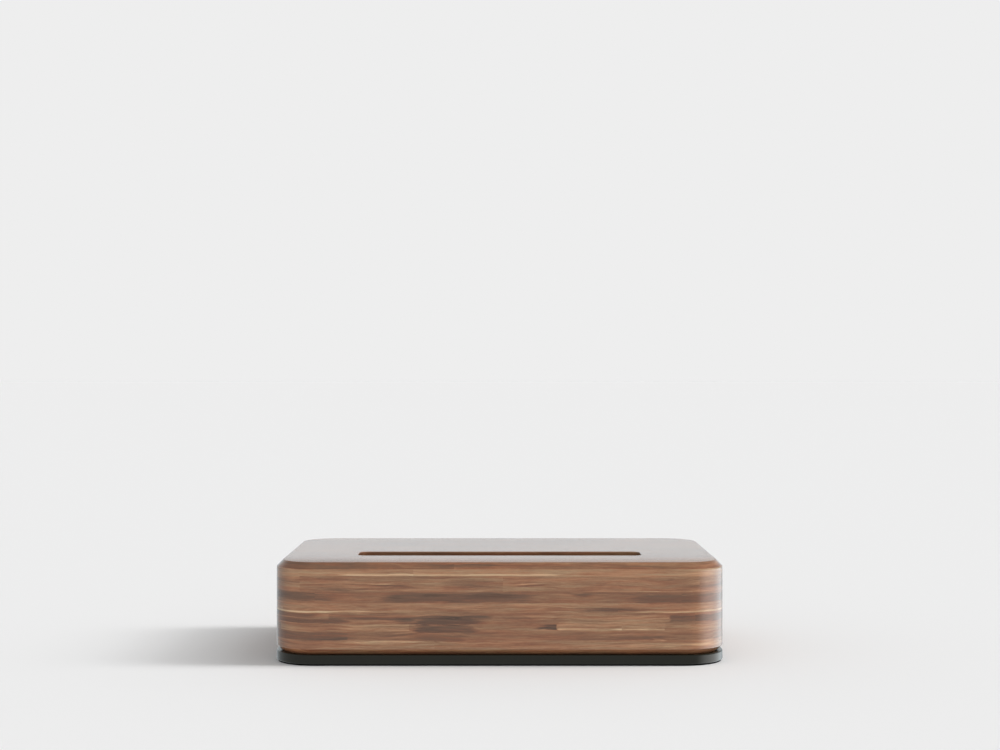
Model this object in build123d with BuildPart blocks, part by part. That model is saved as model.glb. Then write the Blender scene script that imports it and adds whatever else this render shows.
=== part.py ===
"""Desktop phone stand: a wooden block with one slot, on a steel base plate with rubber feet.

Millimetres. The origin is on the table under the middle of the block, +Z is up, +X runs along the
block's long side to the right, and +Y points to the rear.
"""

import os

from build123d import *

os.makedirs("parts", exist_ok=True)

# Block outline, shared by the wood and the plate
body_width = 119.4
body_depth = 69.5
corner_radius = 11.1

# Heights above the table
foot_gap = 0.4
plate_thickness = 2.5
total_height = 27.0
wood_bottom = foot_gap + plate_thickness
wood_height = total_height - wood_bottom

# Wooden block edges
wood_top_chamfer = 1.8
wood_foot_chamfer = 1.45
wood_edge_round = 0.35
level_tolerance = 0.01

# Slot for the phone
slot_length = 77.6
slot_width = 10.0
slot_depth = 12.5
slot_corner_radius = 2.3
slot_mouth_round = 0.3
front_land = 18.5
slot_centre_y = -body_depth / 2 + front_land + slot_width / 2
slot_floor = total_height - slot_depth

# Felt lining of the slot
felt_thickness = 1.0
felt_setback = 1.6
liner_length = 70.0
liner_corner_radius = 1.0
pad_end_clearance = 0.3
pad_side_clearance = 0.1
pad_corner_radius = 1.5

# Base plate edges
plate_edge_round = 0.3

# Base screws, M4 countersunk, and their inserts
screw_spacing_x = 60.0
screw_spacing_y = body_depth - 2 * corner_radius
screw_radius = 1.95
screw_length = 12.0
screw_head_radius = 3.9
screw_head_land = 0.2
screw_recess = 0.1
screw_hex_across_flats = 2.5
screw_hex_depth = 1.4
screw_point_chamfer = 0.4
plate_hole_radius = 2.25
sink_clearance = 0.1
sink_angle = 90.0
plate_sink_radius = screw_head_radius + screw_head_land + screw_recess + sink_clearance
insert_radius = 2.95
insert_groove_radius = 2.55
insert_bore_radius = 2.0
insert_length = 8.0
insert_groove_length = 1.0
insert_recess = 0.2
insert_hole_radius = 3.0
insert_hole_depth = 8.4
pilot_radius = 2.2
pilot_depth = 10.2

# Rubber feet, each centred on the arc of a corner
foot_radius = 6.0
foot_height = 1.6
foot_edge_round = 0.3
foot_recess_clearance = 0.1
foot_x = body_width / 2 - corner_radius
foot_y = body_depth / 2 - corner_radius

# The underside of the wood and of the plate, looked at from below
wood_underside = Plane(origin=(0, 0, wood_bottom), x_dir=(1, 0, 0), z_dir=(0, 0, -1))
plate_underside = Plane(origin=(0, 0, foot_gap), x_dir=(1, 0, 0), z_dir=(0, 0, -1))


# Wooden block
with BuildPart() as wood_body:
    with BuildSketch(Plane.XY.offset(wood_bottom)):
        RectangleRounded(body_width, body_depth, corner_radius)
    extrude(amount=wood_height)
    top_face = wood_body.faces().sort_by(Axis.Z)[-1]
    chamfer(top_face.edges(), length=wood_top_chamfer)
    foot_face = wood_body.faces().sort_by(Axis.Z)[0]
    chamfer(foot_face.edges(), length=wood_foot_chamfer)
    level_edges = wood_body.edges().filter_by(lambda edge: edge.bounding_box().size.Z < level_tolerance)
    fillet(level_edges, radius=wood_edge_round)

    with BuildSketch(Plane.XY.offset(total_height)):
        with Locations((0, slot_centre_y)):
            RectangleRounded(slot_length, slot_width, slot_corner_radius)
    extrude(amount=-slot_depth, mode=Mode.SUBTRACT)
    mouth_face = wood_body.faces().filter_by(Axis.Z).sort_by(Axis.Z)[-1]
    fillet(mouth_face.inner_wires()[0].edges(), radius=slot_mouth_round)

    with Locations(wood_underside):
        with GridLocations(screw_spacing_x, screw_spacing_y, 2, 2):
            CounterBoreHole(
                radius=pilot_radius,
                counter_bore_radius=insert_hole_radius,
                counter_bore_depth=insert_hole_depth,
                depth=pilot_depth,
            )

wood_body.part.label = "wood_body"
export_step(wood_body.part, "parts/wood_body.step")


# Steel base plate, with countersunk screw holes and a recess for each foot
with BuildPart() as base_plate:
    with BuildSketch(Plane.XY.offset(foot_gap)):
        RectangleRounded(body_width, body_depth, corner_radius)
    extrude(amount=plate_thickness)
    plate_faces = base_plate.faces().filter_by(GeomType.PLANE).filter_by(Axis.Z)
    fillet(plate_faces.edges(), radius=plate_edge_round)

    with Locations(plate_underside):
        with GridLocations(screw_spacing_x, screw_spacing_y, 2, 2):
            CounterSinkHole(
                radius=plate_hole_radius,
                counter_sink_radius=plate_sink_radius,
                depth=plate_thickness,
                counter_sink_angle=sink_angle,
            )
    with BuildSketch(Plane.XY.offset(foot_gap)):
        with GridLocations(2 * foot_x, 2 * foot_y, 2, 2):
            Circle(foot_radius + foot_recess_clearance)
    extrude(amount=foot_height - foot_gap, mode=Mode.SUBTRACT)

base_plate.part.label = "base_plate"
export_step(base_plate.part, "parts/base_plate.step")


# Countersunk base screws with hexagon sockets
screw_bottom = foot_gap + screw_recess
cone_height = screw_head_radius - screw_radius

with BuildPart() as one_screw:
    with BuildSketch(Plane.XZ):
        with BuildLine():
            Polyline(
                (0, screw_bottom),
                (screw_head_radius, screw_bottom),
                (screw_head_radius, screw_bottom + screw_head_land),
                (screw_radius, screw_bottom + screw_head_land + cone_height),
                (screw_radius, screw_bottom + screw_length - screw_point_chamfer),
                (screw_radius - screw_point_chamfer, screw_bottom + screw_length),
                (0, screw_bottom + screw_length),
                close=True,
            )
        make_face()
    revolve(axis=Axis.Z)
    with BuildSketch(Plane.XY.offset(screw_bottom)):
        RegularPolygon(screw_hex_across_flats / 2, 6, major_radius=False)
    extrude(amount=screw_hex_depth, mode=Mode.SUBTRACT)

with BuildPart() as base_screws:
    with GridLocations(screw_spacing_x, screw_spacing_y, 2, 2):
        add(one_screw.part)

base_screws.part.label = "base_screws"
export_step(base_screws.part, "parts/base_screws.step")


# Brass inserts pressed into the wood, each with a groove round its waist
insert_bottom = wood_bottom + insert_recess

with BuildPart() as one_insert:
    with BuildSketch(Plane.XY.offset(insert_bottom)):
        Circle(insert_radius)
        Circle(insert_bore_radius, mode=Mode.SUBTRACT)
    extrude(amount=insert_length)
    with BuildSketch(Plane.XY.offset(insert_bottom + (insert_length - insert_groove_length) / 2)):
        Circle(insert_radius)
        Circle(insert_groove_radius, mode=Mode.SUBTRACT)
    extrude(amount=insert_groove_length, mode=Mode.SUBTRACT)

with BuildPart() as threaded_inserts:
    with GridLocations(screw_spacing_x, screw_spacing_y, 2, 2):
        add(one_insert.part)

threaded_inserts.part.label = "threaded_inserts"
export_step(threaded_inserts.part, "parts/threaded_inserts.step")


# Rubber feet, stuck into the recesses of the plate
with BuildPart() as one_foot:
    Cylinder(foot_radius, foot_height, align=(Align.CENTER, Align.CENTER, Align.MIN))
    fillet(one_foot.edges().group_by(Axis.Z)[0], radius=foot_edge_round)

foot_places = {
    "foot_front_left": (-foot_x, -foot_y),
    "foot_front_right": (foot_x, -foot_y),
    "foot_rear_left": (-foot_x, foot_y),
    "foot_rear_right": (foot_x, foot_y),
}
for foot_name, foot_place in foot_places.items():
    with BuildPart() as foot:
        with Locations(foot_place):
            add(one_foot.part)
    foot.part.label = foot_name
    export_step(foot.part, f"parts/{foot_name}.step")


# Felt pad on the floor of the slot, between the two strips
pad_length = slot_length - 2 * pad_end_clearance
pad_width = slot_width - 2 * (felt_thickness + pad_side_clearance)

with BuildPart() as slot_floor_pad:
    with BuildSketch(Plane.XY.offset(slot_floor)):
        with Locations((0, slot_centre_y)):
            RectangleRounded(pad_length, pad_width, pad_corner_radius)
    extrude(amount=felt_thickness)

slot_floor_pad.part.label = "slot_floor_pad"
export_step(slot_floor_pad.part, "parts/slot_floor_pad.step")


# Felt strips on the two long walls of the slot, standing on its floor
liner_height = slot_depth - felt_setback
liner_centre_z = slot_floor + liner_height / 2
liner_offset = (slot_width - felt_thickness) / 2
liner_sides = {"slot_liner_front": -1, "slot_liner_rear": 1}

for liner_name, side in liner_sides.items():
    liner_y = slot_centre_y + side * liner_offset
    with BuildPart() as liner:
        with BuildSketch(Plane.XZ.offset(-liner_y)):
            with Locations((0, liner_centre_z)):
                RectangleRounded(liner_length, liner_height, liner_corner_radius)
        extrude(amount=felt_thickness / 2, both=True)
    liner.part.label = liner_name
    export_step(liner.part, f"parts/{liner_name}.step")
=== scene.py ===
"""Looks of a wooden phone stand: materials, felt, studio light and camera around the CAD frame."""

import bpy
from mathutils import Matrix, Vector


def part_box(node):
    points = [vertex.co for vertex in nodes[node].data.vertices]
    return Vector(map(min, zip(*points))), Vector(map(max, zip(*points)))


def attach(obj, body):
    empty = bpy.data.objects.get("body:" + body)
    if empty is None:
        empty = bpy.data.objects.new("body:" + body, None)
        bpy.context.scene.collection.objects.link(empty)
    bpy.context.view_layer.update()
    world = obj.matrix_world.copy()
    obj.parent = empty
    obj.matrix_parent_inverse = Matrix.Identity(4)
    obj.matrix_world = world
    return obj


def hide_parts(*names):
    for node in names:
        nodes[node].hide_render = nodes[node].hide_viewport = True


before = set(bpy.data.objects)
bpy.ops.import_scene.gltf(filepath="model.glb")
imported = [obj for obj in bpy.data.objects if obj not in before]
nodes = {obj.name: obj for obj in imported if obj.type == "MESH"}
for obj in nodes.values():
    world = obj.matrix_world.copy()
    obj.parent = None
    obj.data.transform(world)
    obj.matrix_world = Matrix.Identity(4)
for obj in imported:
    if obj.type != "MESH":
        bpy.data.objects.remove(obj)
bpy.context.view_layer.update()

import math
import random

import bmesh
import bpy
from mathutils import Vector, noise

MM = 0.001
wood_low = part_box("wood_body")[0]
plate_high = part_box("base_plate")[1]


# ---------------------------------------------------------------- node trees

# Where most values of a noise lie
noise_range = (0.3, 0.7)


class Tree:
    """Short names for the nodes of one material or world."""

    def __init__(self, tree):
        self.tree = tree
        tree.nodes.clear()

    def add(self, kind, **settings):
        node = self.tree.nodes.new("ShaderNode" + kind)
        for name, value in settings.items():
            setattr(node, name, value)
        return node

    def put(self, socket, value):
        if isinstance(value, bpy.types.NodeSocket):
            self.tree.links.new(value, socket)
        else:
            socket.default_value = value

    def math(self, operation, first, second=0.0, third=None):
        node = self.add("Math", operation=operation)
        self.put(node.inputs[0], first)
        self.put(node.inputs[1], second)
        if third is not None:
            self.put(node.inputs[2], third)
        return node.outputs[0]

    def total(self, *values):
        result = values[0]
        for value in values[1:]:
            result = self.math("ADD", result, value)
        return result

    def times(self, *values):
        result = values[0]
        for value in values[1:]:
            result = self.math("MULTIPLY", result, value)
        return result

    def less(self, first, second):
        return self.math("SUBTRACT", first, second)

    def size(self, value):
        return self.math("ABSOLUTE", value)

    def remap(self, value, low, high, to_low=0.0, to_high=1.0, smooth=True):
        node = self.add("MapRange", interpolation_type="SMOOTHSTEP" if smooth else "LINEAR")
        self.put(node.inputs["Value"], value)
        self.put(node.inputs["From Min"], low)
        self.put(node.inputs["From Max"], high)
        self.put(node.inputs["To Min"], to_low)
        self.put(node.inputs["To Max"], to_high)
        return node.outputs[0]

    def vector(self, x, y, z):
        node = self.add("CombineXYZ")
        for socket, value in zip(node.inputs, (x, y, z)):
            self.put(socket, value)
        return node.outputs[0]

    def stretched(self, place, rates):
        """The place with each of its three parts multiplied by a rate of its own."""
        return self.vector(*(self.times(part, rate) for part, rate in zip(place, rates)))

    def shift(self, vector, value):
        """The vector with one number added to each of its parts."""
        node = self.add("VectorMath", operation="ADD")
        self.put(node.inputs[0], vector)
        self.put(node.inputs[1], value)
        return node.outputs[0]

    def split(self, vector):
        node = self.add("SeparateXYZ")
        self.put(node.inputs[0], vector)
        return node.outputs

    def noise(self, vector, scale=1.0, detail=2.0, roughness=0.5, colour=False):
        node = self.add("TexNoise")
        self.put(node.inputs["Vector"], vector)
        node.inputs["Scale"].default_value = scale
        node.inputs["Detail"].default_value = detail
        node.inputs["Roughness"].default_value = roughness
        return node.outputs["Color" if colour else "Fac"]

    def random(self, vector):
        node = self.add("TexWhiteNoise")
        self.put(node.inputs["Vector"], vector)
        return node.outputs

    def ramp(self, value, stops, constant=False):
        node = self.add("ValToRGB")
        elements = node.color_ramp.elements
        while len(elements) < len(stops):
            elements.new(0.5)
        for element, (place, colour) in zip(elements, stops):
            element.position = place
            element.color = (*colour, 1.0)
        if constant:
            node.color_ramp.interpolation = "CONSTANT"
        self.put(node.inputs[0], value)
        return node.outputs[0]

    def mix(self, factor, first, second, blend="MIX"):
        node = self.add("Mix", data_type="RGBA", blend_type=blend)
        self.put(node.inputs[0], factor)
        for socket, value in ((node.inputs[6], first), (node.inputs[7], second)):
            if isinstance(value, tuple):
                value = (*value, 1.0)
            self.put(socket, value)
        return node.outputs[2]

    def bump(self, height, relief, strength):
        """A relief, given in mm."""
        node = self.add("Bump")
        node.inputs["Strength"].default_value = strength
        node.inputs["Distance"].default_value = relief * MM
        self.put(node.inputs["Height"], height)
        return node.outputs[0]

    def millimetres(self):
        """Place in the object's own frame, in millimetres."""
        node = self.add("VectorMath", operation="SCALE")
        self.put(node.inputs[0], self.add("TexCoord").outputs["Object"])
        node.inputs["Scale"].default_value = 1 / MM
        return node.outputs[0]

    def normal(self):
        """Direction that the surface faces, in the object's own frame, as x, y, z."""
        return self.split(self.add("TexCoord").outputs["Normal"])


def new_material(name):
    """A material with a Principled shader, and its tree and shader."""
    material = bpy.data.materials.new(name)
    material.use_nodes = True
    tree = Tree(material.node_tree)
    shader = tree.add("BsdfPrincipled")
    output = tree.add("OutputMaterial")
    material.node_tree.links.new(shader.outputs[0], output.inputs["Surface"])
    return material, tree, shader


# ---------------------------------------------------------------- wood

# Thickness in mm and tone from 0, dark, to 1, cream, of the glued layers, from the lowest up
wood_layers = [
    (1.5, 0.49),
    (2.3, 0.60),
    (2.3, 0.47),
    (1.9, 0.55),
    (3.1, 0.50),
    (2.4, 0.58),
    (2.9, 0.47),
    (4.2, 0.53),
    (1.8, 0.665),
    (1.7, 0.47),
]
layer_draw = 7

# Each layer is a floor of staves, end to end along x and side by side along y, in mm
stave_length = 96.0
stave_depth = 13.0
stave_contrast = 0.07

# What turns the seeds of layers and staves, all from 0 to 1, into shifts and into new seeds
row_shift_factor = 5.0
joint_shift_factor = 7.0
row_salt = 3.0
stave_salt = 91.0
pattern_shift_factor = 40.0
hue_shift_factor = 23.0

# Colours of the wood by tone
wood_tones = [
    (0.00, (0.075, 0.046, 0.030)),
    (0.25, (0.150, 0.080, 0.051)),
    (0.42, (0.245, 0.113, 0.062)),
    (0.55, (0.350, 0.176, 0.094)),
    (0.72, (0.490, 0.286, 0.160)),
    (1.00, (0.735, 0.500, 0.305)),
]

# Patterns in the tone, from broad to fine: changes per mm along the grain, into the depth and
# up; detail; roughness; share of the tone; whether each stave has its own
wood_patterns = {
    "figure": ((0.045, 0.28, 0.75), 3.0, 0.55, 0.36, True),
    "streaks": ((0.07, 1.6, 1.9), 4.0, 0.65, 0.50, True),
    "fine": ((0.16, 3.6, 4.2), 3.0, 0.65, 0.32, True),
    "dashes": ((0.60, 3.0, 3.2), 3.0, 0.60, 0.16, False),
    "fibres": ((0.30, 7.0, 8.0), 3.0, 0.60, 0.18, False),
}

# The grain turns a little with the depth, but on the walls the patterns hardly change with it,
# so that the bands run on round the corners
grain_slant = 0.35
wall_depth = 0.02

# The lines of the grain bend slowly and curl quickly: changes per mm, and the height in mm
wander_rates = (0.022, 0.03, 0.12)
wander_height = 0.9
curl_rates = (0.085, 0.20, 0.42)
curl_height = 1.3

# Dark mineral stains, by the noise between which they set in
mineral_rates = (0.025, 0.30, 0.60)
mineral_tear = 0.35
mineral_range = (0.60, 0.74)
mineral_tone = -0.20

# Streaks of a redder and a paler cast, and the redder half of the staves
hue_rates = (0.06, 0.9, 1.0)
hue_range = (0.32, 0.68)
red_cast = (1.08, 0.95, 0.89)
pale_cast = (0.95, 1.04, 1.04)
red_stave = (0.31, 0.125, 0.058)
red_stave_range = (0.5, 1.0)
red_stave_share = 0.16

# How squarely a surface has to face up or down to count as flat, and left or right as an end
flat_facing = (0.75, 0.95)
end_facing = (0.50, 0.95)

# End grain on the short sides: its shade between and in the pores
pore_rates = (0.3, 5.0, 5.0)
pore_range = (0.60, 0.72)
end_shades = (0.58, 0.36)

# Lacquer: roughness from weak to strong fibres, and relief of the fibres in mm
lacquer_roughness = (0.15, 0.10)
lacquer_ior = 1.52
fibre_relief = 0.03
fibre_strength = 0.5

# The worn strip along the front edge of the top face: its width in mm, and how much rougher the
# lacquer is at the edge
wear_width = 23.8
wear = 0.23

# Marks along the grain at the front, in mm: from and to x, length of the fade at each of these
# ends, middle z, half height, rise per mm, and the change of tone
sharp = 0.2
front_marks = [
    # Dark patches of the layer at two thirds of the height
    (-66.0, -42.0, 2.0, 9.0, 18.2, 1.00, 0.00, -0.24),
    (-32.0, 10.5, 4.0, 6.0, 18.0, 1.15, 0.00, -0.21),
    (-30.0, -23.5, 3.0, 3.0, 18.3, 0.50, 0.00, -0.12),
    (-21.5, -13.0, 3.0, 4.0, 18.4, 0.45, 0.00, -0.13),
    (-10.0, 5.0, 4.0, 5.0, 18.3, 0.60, 0.00, -0.13),
    (-17.0, -4.0, 4.0, 4.0, 16.9, 0.45, 0.00, -0.12),
    (19.0, 25.0, 3.0, 3.0, 18.5, 0.50, 0.00, -0.22),
    (32.0, 68.0, 5.0, 2.0, 17.5, 1.10, 0.00, -0.19),
    (10.0, 38.0, 4.0, 6.0, 14.8, 0.38, 0.00, -0.13),
    (23.0, 34.0, 4.0, 4.0, 14.9, 0.40, 0.00, -0.12),
    # Dark patches of the layers at half the height
    (-66.0, -46.0, 2.0, 6.0, 13.2, 0.55, 0.00, -0.22),
    (-57.0, -38.5, 3.0, 5.0, 11.8, 0.60, 0.00, -0.22),
    (-28.0, -21.0, 3.0, 3.0, 11.7, 0.85, 0.00, -0.18),
    (-23.0, -3.0, 4.0, 6.0, 11.7, 0.95, 0.00, -0.26),
    (-23.0, -5.0, 2.5, 3.5, 9.7, 1.05, 0.00, -0.30),
    (-18.5, 0.0, 4.0, 5.0, 12.8, 0.40, 0.00, -0.18),
    (-46.0, -23.8, 6.0, sharp, 10.1, 0.85, 0.00, 0.10),
    (8.0, 14.8, 5.0, sharp, 10.3, 0.72, 0.00, -0.42),
    (44.2, 68.0, 0.6, 2.0, 12.45, 0.85, 0.00, -0.21),
    # Darker lines low on the front
    (-57.0, -38.0, 3.0, 8.0, 7.8, 0.90, 0.00, -0.12),
    (-24.0, -8.0, 4.0, 4.0, 7.2, 0.90, 0.00, -0.16),
    (27.0, 44.0, 4.0, 4.0, 7.4, 0.45, 0.00, -0.16),
    # Darker stretches of the upper layers
    (-66.0, -29.0, 2.0, 9.0, 26.4, 1.20, 0.00, -0.08),
    (37.0, 68.0, 9.0, 2.0, 21.4, 1.50, 0.00, -0.06),
    (-16.0, -0.5, 4.0, 4.0, 21.3, 0.90, 0.00, -0.09),
    # Paler staves
    (-66.0, -29.0, 2.0, 9.0, 20.1, 0.80, 0.00, 0.06),
    (-5.0, 15.0, 4.0, 2.0, 12.7, 0.60, 0.00, 0.08),
    (14.0, 46.0, 5.0, 4.0, 12.2, 1.40, 0.00, 0.08),
    (14.9, 43.6, 0.8, 0.8, 10.4, 1.10, 0.00, 0.06),
    # Cream lines
    (-44.0, 19.5, 6.0, 8.0, 23.85, 0.24, 0.00, 0.32),
    (-66.0, -33.0, 2.0, 11.0, 14.10, 0.25, 0.00, 0.32),
    (32.0, 68.0, 8.0, 2.0, 14.15, 0.25, 0.00, 0.28),
    (-41.0, -18.0, 6.0, 8.0, 6.35, 0.25, 0.00, 0.26),
    (29.0, 43.2, 6.0, sharp, 9.60, 0.22, 0.00, 0.32),
    (15.0, 26.0, 0.5, 5.0, 9.60, 0.24, 0.00, 0.16),
    (31.0, 68.0, 6.0, 2.0, 5.60, 0.50, 0.00, 0.14),
    # Small curls of the figure: a pale line over a dark one
    (-35.0, -26.0, 3.0, 3.0, 21.45, 0.15, -0.03, 0.15),
    (-34.0, -23.0, 3.0, 3.0, 21.05, 0.20, -0.03, -0.16),
    (4.0, 12.5, 3.0, 3.0, 21.45, 0.17, 0.06, 0.22),
    (3.0, 13.5, 3.0, 3.0, 21.05, 0.22, 0.06, -0.22),
    (-29.5, -21.0, 2.5, 2.5, 8.55, 0.18, 0.07, 0.20),
    (-31.0, -19.5, 3.0, 3.0, 8.20, 0.26, 0.06, -0.22),
    (39.5, 43.8, 1.2, 1.2, 7.00, 0.22, -0.09, 0.18),
]

# Torn ends of the marks, in lengths of their fade; frayed edges and the edges' width, in half
# heights; and the streaks inside them: from and to which value of the pattern, and how strong
mark_tear = 3.0
mark_fray = 1.6
mark_edge = (0.75, 1.15)
mark_streak_range = (0.36, 0.62)
mark_streak_strength = (0.50, 1.35)

# The share of the grain's waves that the marks follow, the shift from the place along the grain
# to x at the front, and the y between which the marks die out, in mm
mark_waves = 0.4
mark_shift = 12.0
mark_depths = (-24.0, -10.0)


def wood_layer_values(tree, height):
    """Tone, seed and offset of the layer at a height in mm above the wood's lower face."""
    draw = random.Random(layer_draw)
    thickness = sum(layer[0] for layer in wood_layers)
    stops = []
    reached = 0.0
    for layer_thickness, tone in wood_layers:
        stops.append((reached / thickness, (tone, draw.random(), draw.random())))
        reached += layer_thickness
    colour = tree.ramp(tree.math("DIVIDE", height, thickness), stops, constant=True)
    return tree.split(colour)


def wood_stave(tree, x, y, layer_seed, layer_shift):
    """Random values of the stave at a place in its layer."""
    rows_shift = tree.times(layer_seed, row_shift_factor)
    row = tree.math("FLOOR", tree.total(tree.math("DIVIDE", y, stave_depth), rows_shift))
    row_shift = tree.random(tree.vector(row, layer_seed, row_salt))["Value"]
    joints_shift = tree.times(layer_shift, joint_shift_factor)
    place = tree.total(tree.math("DIVIDE", x, stave_length), joints_shift)
    number = tree.math("FLOOR", tree.total(place, row_shift))
    return tree.random(tree.vector(number, row, tree.times(layer_seed, stave_salt)))


def wood_marks(tree, along, across, depth, streaks, fine):
    """Sum of the marks' changes of tone, with torn ends; they die out behind the front corners."""
    change = 0.0
    tear = tree.math("MULTIPLY_ADD", streaks, mark_tear, -mark_tear / 2)
    fray = tree.math("MULTIPLY_ADD", fine, mark_fray, -mark_fray / 2)
    for start, stop, fade_in, fade_out, middle, half_height, rise, strength in front_marks:
        offset = middle - rise * (start + stop) / 2
        line = tree.less(across, tree.math("MULTIPLY_ADD", along, rise, offset))
        away = tree.math("MULTIPLY_ADD", tree.size(line), 1 / half_height, fray)
        begun = tree.math("MULTIPLY_ADD", tree.less(along, start), 1 / fade_in, tear)
        left = tree.math("MULTIPLY_ADD", tree.less(stop, along), 1 / fade_out, tear)
        inside = tree.times(
            tree.remap(tree.math("MINIMUM", begun, left), 0.0, 1.0, 0.0, strength),
            tree.remap(away, *mark_edge, 1.0, 0.0),
        )
        change = tree.total(inside, change)
    uneven = tree.remap(streaks, *mark_streak_range, *mark_streak_strength)
    return tree.times(change, uneven, tree.remap(depth, *mark_depths, 1.0, 0.0))


def end_grain(tree, colour, place):
    """The colour, darker and with pores as dots where the surface faces along the grain."""
    on_end = tree.remap(tree.size(tree.normal()[0]), *end_facing)
    pores = tree.remap(tree.noise(tree.stretched(place, pore_rates), detail=1.0), *pore_range)
    end_shade = tree.remap(pores, 0.0, 1.0, *end_shades)
    shade = tree.math("MULTIPLY_ADD", on_end, tree.less(end_shade, 1.0), 1.0)
    return tree.mix(1.0, colour, tree.vector(shade, shade, shade), blend="MULTIPLY")


def front_wear(tree, y):
    """From 0 behind to 1 at the front edge, where hands have dulled the lacquer."""
    front = wood_low.y / MM
    near = tree.remap(y, front, front + wear_width, 1.0, 0.0, smooth=False)
    return tree.times(near, near)


def wood_material():
    material, tree, shader = new_material("laminated_wood")
    place = tree.split(tree.millimetres())
    x, y, z = place
    on_flat = tree.remap(tree.size(tree.normal()[2]), *flat_facing)

    # The grain's own directions: along it, into the depth, and up across its bent lines
    along = tree.total(x, tree.times(y, grain_slant))
    depth_wall = tree.times(y, wall_depth)
    depth = tree.math("MULTIPLY_ADD", on_flat, tree.less(y, depth_wall), depth_wall)
    wander = tree.noise(tree.stretched(place, wander_rates))
    curl = tree.noise(tree.stretched((along, depth, z), curl_rates))
    wavy_z = tree.total(
        z,
        tree.times(tree.less(wander, 0.5), wander_height),
        tree.times(tree.less(curl, 0.5), curl_height),
    )
    calm_z = tree.math("MULTIPLY_ADD", tree.less(wavy_z, z), mark_waves, z)
    grain = (along, depth, wavy_z)

    height = tree.less(z, wood_low.z / MM)
    layer_tone, layer_seed, layer_shift = wood_layer_values(tree, height)
    stave = wood_stave(tree, x, y, layer_seed, layer_shift)
    stave_seed = tree.times(tree.total(layer_seed, stave["Value"]), pattern_shift_factor)

    tones = [layer_tone, tree.times(tree.less(stave["Value"], 0.5), stave_contrast)]
    patterns = {}
    for name, (rates, detail, roughness, share, by_stave) in wood_patterns.items():
        pattern_place = tree.stretched(grain, rates)
        if by_stave:
            pattern_place = tree.shift(pattern_place, stave_seed)
        patterns[name] = tree.noise(pattern_place, detail=detail, roughness=roughness)
        tones.append(tree.times(tree.less(patterns[name], 0.5), share))
    streaks, fine, fibres = patterns["streaks"], patterns["fine"], patterns["fibres"]
    mineral = tree.noise(tree.stretched(grain, mineral_rates))
    mineral_torn = tree.total(mineral, tree.times(tree.less(streaks, 0.5), mineral_tear))
    tones.append(tree.remap(mineral_torn, *mineral_range, 0.0, mineral_tone))
    tones.append(wood_marks(tree, tree.total(along, mark_shift), calm_z, y, streaks, fine))
    colour = tree.ramp(tree.total(*tones), wood_tones)

    hue_shift = tree.times(layer_seed, hue_shift_factor)
    hue_place = tree.shift(tree.stretched(grain, hue_rates), hue_shift)
    hue = tree.noise(hue_place, detail=3.0, roughness=0.6)
    cast = tree.mix(tree.remap(hue, *hue_range), red_cast, pale_cast)
    colour = tree.mix(1.0, colour, cast, blend="MULTIPLY")
    draw = tree.split(stave["Color"])[1]
    redness = tree.remap(draw, *red_stave_range, 0.0, red_stave_share)
    colour = tree.mix(redness, colour, red_stave)

    dulled = tree.times(front_wear(tree, y), on_flat, wear)
    roughness = tree.total(tree.remap(fibres, *noise_range, *lacquer_roughness), dulled)
    tree.put(shader.inputs["Base Color"], end_grain(tree, colour, place))
    tree.put(shader.inputs["Roughness"], roughness)
    shader.inputs["IOR"].default_value = lacquer_ior
    tree.put(shader.inputs["Normal"], tree.bump(fibres, fibre_relief, fibre_strength))
    return material


# ---------------------------------------------------------------- the other materials


def grained_material(name, scale, dark, pale, roughness, relief, strength, metallic=0.0):
    """A plain stuff with one fine grain in its colour, its roughness and its relief in mm."""
    material, tree, shader = new_material(name)
    grain = tree.noise(tree.millimetres(), scale=scale, detail=3.0)
    tree.put(shader.inputs["Base Color"], tree.mix(grain, dark, pale))
    tree.put(shader.inputs["Roughness"], tree.remap(grain, *noise_range, *roughness))
    shader.inputs["Metallic"].default_value = metallic
    tree.put(shader.inputs["Normal"], tree.bump(grain, relief, strength))
    return material


def rubber_material():
    return grained_material(
        "black_rubber",
        scale=6.0,
        dark=(0.012, 0.012, 0.012),
        pale=(0.030, 0.030, 0.029),
        roughness=(0.62, 0.80),
        relief=0.04,
        strength=0.6,
    )


def screw_material():
    """Black oxide steel."""
    return grained_material(
        "black_steel",
        scale=5.0,
        dark=(0.025, 0.025, 0.028),
        pale=(0.06, 0.06, 0.065),
        roughness=(0.34, 0.5),
        relief=0.02,
        strength=0.4,
        metallic=1.0,
    )


# Powder coat: the tones of its faint clouds, and the gloss and relief, in mm, of its skin
coat_tones = ((0.006, 0.0065, 0.002), (0.009, 0.0095, 0.004))
coat_roughness = (0.18, 0.26)
coat_ior = 1.39
coat_relief = 0.02
coat_strength = 0.4


def plate_material():
    """Black powder coat: a fine orange-peel skin over faint clouds."""
    material, tree, shader = new_material("painted_steel")
    place = tree.millimetres()
    grain = tree.noise(place, scale=2.6)
    clouds = tree.noise(place, scale=0.3)
    tree.put(shader.inputs["Base Color"], tree.mix(clouds, *coat_tones))
    tree.put(shader.inputs["Roughness"], tree.remap(grain, *noise_range, *coat_roughness))
    shader.inputs["IOR"].default_value = coat_ior
    tree.put(shader.inputs["Normal"], tree.bump(grain, coat_relief, coat_strength))
    return material


# Brass: how quickly the turning marks change per mm across and along the insert, its tones, and
# the gloss and relief, in mm, of the marks
turning_rates = (0.2, 0.2, 9.0)
brass_tones = ((0.60, 0.40, 0.16), (0.80, 0.58, 0.27))
brass_roughness = (0.22, 0.36)
brass_relief = 0.03
brass_strength = 0.5


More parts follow.
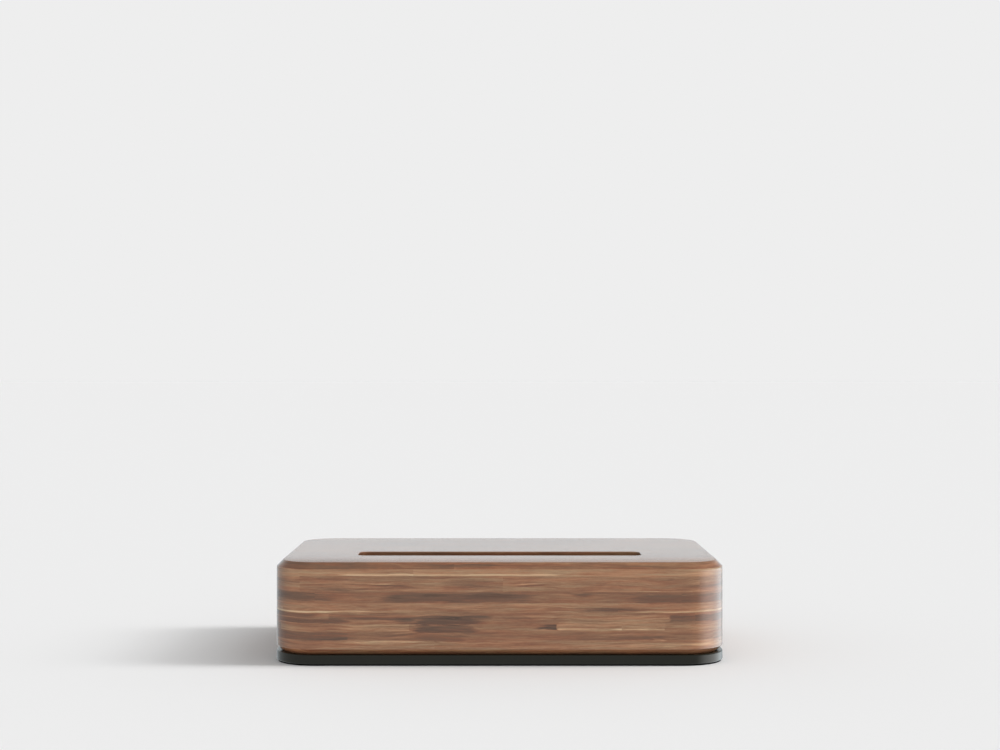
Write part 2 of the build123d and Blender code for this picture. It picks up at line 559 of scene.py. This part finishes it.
def brass_material():
    """Turned brass, with the marks of the tool round it."""
    material, tree, shader = new_material("brass")
    place = tree.split(tree.millimetres())
    turning = tree.noise(tree.stretched(place, turning_rates))
    tree.put(shader.inputs["Base Color"], tree.mix(turning, *brass_tones))
    shader.inputs["Metallic"].default_value = 1.0
    tree.put(shader.inputs["Roughness"], tree.remap(turning, *noise_range, *brass_roughness))
    tree.put(shader.inputs["Normal"], tree.bump(turning, brass_relief, brass_strength))
    return material


# Felt: tones by noise, bend of the fibres in mm, and the gloss, sheen and relief, in mm
felt_tones = [
    (0.30, (0.020, 0.019, 0.019)),
    (0.52, (0.046, 0.044, 0.043)),
    (0.72, (0.100, 0.096, 0.094)),
]
felt_bend = 1.6
felt_roughness = (0.98, 0.86)
felt_sheen = 0.5
felt_relief = 0.25
felt_strength = 0.8


def felt_material():
    """Pressed wool: matted fibres that run every way, and a soft sheen."""
    material, tree, shader = new_material("felt")
    place = tree.millimetres()
    bent = tree.add("VectorMath", operation="MULTIPLY_ADD")
    tree.put(bent.inputs[0], tree.noise(place, scale=1.3, colour=True))
    bent.inputs[1].default_value = (felt_bend, felt_bend, felt_bend)
    tree.put(bent.inputs[2], place)
    fibres = tree.noise(bent.outputs[0], scale=3.2, detail=5.0, roughness=0.72)
    tree.put(shader.inputs["Base Color"], tree.ramp(fibres, felt_tones))
    tree.put(shader.inputs["Roughness"], tree.remap(fibres, *noise_range, *felt_roughness))
    shader.inputs["Sheen Weight"].default_value = felt_sheen
    shader.inputs["Sheen Roughness"].default_value = felt_sheen
    tree.put(shader.inputs["Normal"], tree.bump(fibres, felt_relief, felt_strength))
    return material


# ---------------------------------------------------------------- felt pieces

# Sizes of a felt piece in mm: rounding of its edges, step of its mesh, depth of the matted
# relief and width of a tuft; the noise value at which the skin stays where the CAD has it; and
# how far apart in the noise the pieces lie
felt_edge = 0.25
felt_step = 0.45
felt_lift = 0.10
felt_tuft = 0.8
felt_level = 0.6
felt_seed_step = 11.0

# Vertices nearer to a cut than this, in metres, count as on it
cut_tolerance = 1e-7


def soft_box(name, low, high, seed):
    """A felt strip: a box with rounded edges, fine enough for its skin to be matted in relief."""
    mesh = bpy.data.meshes.new(name)
    piece = bpy.data.objects.new(name, mesh)
    bpy.context.scene.collection.objects.link(piece)
    size = high - low
    edge = felt_edge * MM
    shape = bmesh.new()
    bmesh.ops.create_cube(shape, size=1.0)
    bmesh.ops.scale(shape, vec=size, verts=shape.verts)
    bmesh.ops.translate(shape, vec=(low + high) / 2, verts=shape.verts)
    bmesh.ops.bevel(shape, geom=shape.edges[:], offset=edge, segments=3, profile=0.5, affect="EDGES")
    for axis in range(3):
        cuts = int(size[axis] / (felt_step * MM))
        normal = Vector((0, 0, 0))
        normal[axis] = 1.0
        for number in range(1, cuts):
            place = low.copy()
            place[axis] += size[axis] * number / cuts
            geometry = shape.verts[:] + shape.edges[:] + shape.faces[:]
            bmesh.ops.bisect_plane(
                shape,
                geom=geometry,
                dist=cut_tolerance,
                plane_co=place,
                plane_no=normal,
            )
    shape.normal_update()
    for vertex in shape.verts:
        place = Vector(vertex.co) / (felt_tuft * MM) + Vector((seed, 0, 0))
        vertex.co += vertex.normal * (noise.noise(place) - felt_level) * felt_lift * MM
    shape.to_mesh(mesh)
    shape.free()
    for polygon in mesh.polygons:
        polygon.use_smooth = True
    return piece


def felt_lining(material):
    """The felt pieces of the slot, in place of their plain CAD solids."""
    for number, node in enumerate(("slot_floor_pad", "slot_liner_front", "slot_liner_rear")):
        low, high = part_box(node)
        piece = soft_box("felt_" + node, low, high, felt_seed_step * number)
        piece.data.materials.append(material)
        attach(piece, "root")
        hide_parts(node)


# ---------------------------------------------------------------- studio

floor_size = 40.0
floor_tone = 0.9

# The black sheet of painted shade on the floor under the plate, in metres: its inset from the plate,
# its corner radius, its height over the floor; the steps of a corner; its tone
shade_inset = 0.0004
shade_corner = 0.0107
shade_height = 0.00002
shade_steps = 8
shade_tone = 0.02

# Brightness of the studio, in that of a white surface under even light, at the horizon and
# overhead, and the slopes between which the one turns into the other
backdrop = 0.855
zenith_light = 0.44
horizon_glow = (0.30, 0.60)

# In mirrored light the floor's brightness, and the cooler far side of the backdrop: its colour,
# how far round it reaches, and the slopes between which it fades out above
mirrored_floor = 0.76
cool_backdrop = (1.0, 1.09, 1.13)
cool_side = (0.0, 0.8)
cool_top = (0.20, 0.35)

# The gleam that upright faces mirror: azimuth in degrees, how far round it reaches as a cosine,
# brightness, and the slopes between which it fades out above and below
gleam_azimuth = 97.0
gleam_reach = 0.5
gleam = 2.9
gleam_top = (-0.05, 0.02)
gleam_foot = (-0.9, -0.5)

# The suns of the key light: elevation in degrees and strength; all as wide and as far round
key_suns = [(26.0, 0.68), (34.0, 0.72), (42.0, 0.45), (54.0, 0.22), (66.0, 0.15)]
key_width = 16.0
key_azimuth = 90.0

# Camera, in metres and mm of lens and sensor
camera_lens = 61.2
camera_sensor = 36.0
camera_distance = 0.445
camera_height = 0.0762
camera_side = 0.0001
camera_clip = 0.01


def matt_material(name, tone):
    material, tree, shader = new_material(name)
    shader.inputs["Base Color"].default_value = (tone, tone, tone, 1.0)
    shader.inputs["Roughness"].default_value = 1.0
    shader.inputs["Specular IOR Level"].default_value = 0.0
    return material


def studio_floor():
    bpy.ops.mesh.primitive_plane_add(size=floor_size)
    floor = bpy.context.object
    floor.name = "studio_floor"
    floor.visible_glossy = False
    floor.data.materials.append(matt_material("studio_floor", floor_tone))


def under_shade():
    """Painted deep shade: a black sheet on the floor under the plate, standing in for its shadow."""
    mesh = bpy.data.meshes.new("under_shade")
    half_x = plate_high.x - shade_inset - shade_corner
    half_y = plate_high.y - shade_inset - shade_corner
    corners = []
    for number in range(shade_steps * 4):
        angle = 2 * math.pi * (number + 0.5) / (shade_steps * 4)
        away = Vector((math.cos(angle), math.sin(angle)))
        x = math.copysign(half_x, away.x) + shade_corner * away.x
        y = math.copysign(half_y, away.y) + shade_corner * away.y
        corners.append((x, y, shade_height))
    mesh.from_pydata(corners, [], [range(len(corners))])
    # Its near-black tone is painted shade, not a part of the stand
    mesh.materials.append(matt_material("under_shade", shade_tone))
    shade = bpy.data.objects.new("under_shade", mesh)
    bpy.context.scene.collection.objects.link(shade)


def studio_world():
    """An even pale backdrop for the camera; for light, bright near the horizon and dim above.

    Below the horizon it stands in for the floor in mirrored light, with a soft gleam at the right.
    Mirrored in the top face, its far side is a little cooler.
    """
    world = bpy.data.worlds.new("studio")
    bpy.context.scene.world = world
    world.use_nodes = True
    tree = Tree(world.node_tree)
    x, y, z = tree.split(tree.add("TexCoord").outputs["Generated"])
    ray = tree.add("LightPath").outputs
    sky = tree.remap(z, *horizon_glow, backdrop, zenith_light)

    azimuth = math.radians(gleam_azimuth)
    level = tree.math("SQRT", tree.total(tree.times(x, x), tree.times(y, y)))
    towards = tree.total(tree.times(x, math.sin(azimuth)), tree.times(y, -math.cos(azimuth)))
    round_it = tree.remap(tree.math("DIVIDE", towards, level), gleam_reach, 1.0)
    under_top = tree.remap(z, *gleam_top, 1.0, 0.0)
    over_foot = tree.remap(z, *gleam_foot)
    light = tree.math("MULTIPLY_ADD", tree.times(round_it, under_top, over_foot), gleam, sky)
    below = tree.math("LESS_THAN", z, 0.0)
    light = tree.total(light, tree.times(below, mirrored_floor - backdrop))
    strength = tree.math("MULTIPLY_ADD", ray["Is Camera Ray"], tree.less(backdrop, light), light)

    coolness = tree.times(
        ray["Is Glossy Ray"],
        tree.remap(y, *cool_side),
        tree.remap(z, *cool_top, 1.0, 0.0),
    )
    background = tree.add("Background")
    tree.put(background.inputs["Color"], tree.mix(coolness, (1.0, 1.0, 1.0), cool_backdrop))
    tree.put(background.inputs["Strength"], strength)
    output = tree.add("OutputWorld")
    world.node_tree.links.new(background.outputs[0], output.inputs["Surface"])


def key_light():
    """One tall strip of soft light at the right, as a row of wide suns one above the other."""
    azimuth = math.radians(key_azimuth)
    for number, (degrees, strength) in enumerate(key_suns):
        elevation = math.radians(degrees)
        data = bpy.data.lights.new(f"key_{number}", "SUN")
        data.energy = strength
        data.angle = math.radians(key_width)
        lamp = bpy.data.objects.new(data.name, data)
        towards = Vector(
            (
                math.cos(elevation) * math.sin(azimuth),
                -math.cos(elevation) * math.cos(azimuth),
                math.sin(elevation),
            )
        )
        lamp.rotation_euler = towards.to_track_quat("Z", "Y").to_euler()
        lamp.location = towards
        lamp.visible_glossy = False
        bpy.context.scene.collection.objects.link(lamp)


def level_camera():
    """A level camera in front of the stand, a little above it."""
    data = bpy.data.cameras.new("camera")
    data.sensor_width = camera_sensor
    data.lens = camera_lens
    data.clip_start = camera_clip
    camera = bpy.data.objects.new("camera", data)
    camera.location = (camera_side, wood_low.y - camera_distance, camera_height)
    camera.rotation_euler = (math.radians(90.0), 0.0, 0.0)
    bpy.context.scene.collection.objects.link(camera)
    bpy.context.scene.camera = camera


# ---------------------------------------------------------------- the scene

bpy.context.scene.view_settings.view_transform = "Standard"
bpy.context.scene.view_settings.look = "None"

level_camera()
studio_floor()
under_shade()
studio_world()
key_light()

node_materials = {
    "wood_body": wood_material(),
    "base_plate": plate_material(),
    "base_screws": screw_material(),
    "threaded_inserts": brass_material(),
}
rubber = rubber_material()
for name in nodes:
    if name.startswith("foot_"):
        node_materials[name] = rubber
for name, material in node_materials.items():
    nodes[name].data.materials.clear()
    nodes[name].data.materials.append(material)
felt_lining(felt_material())
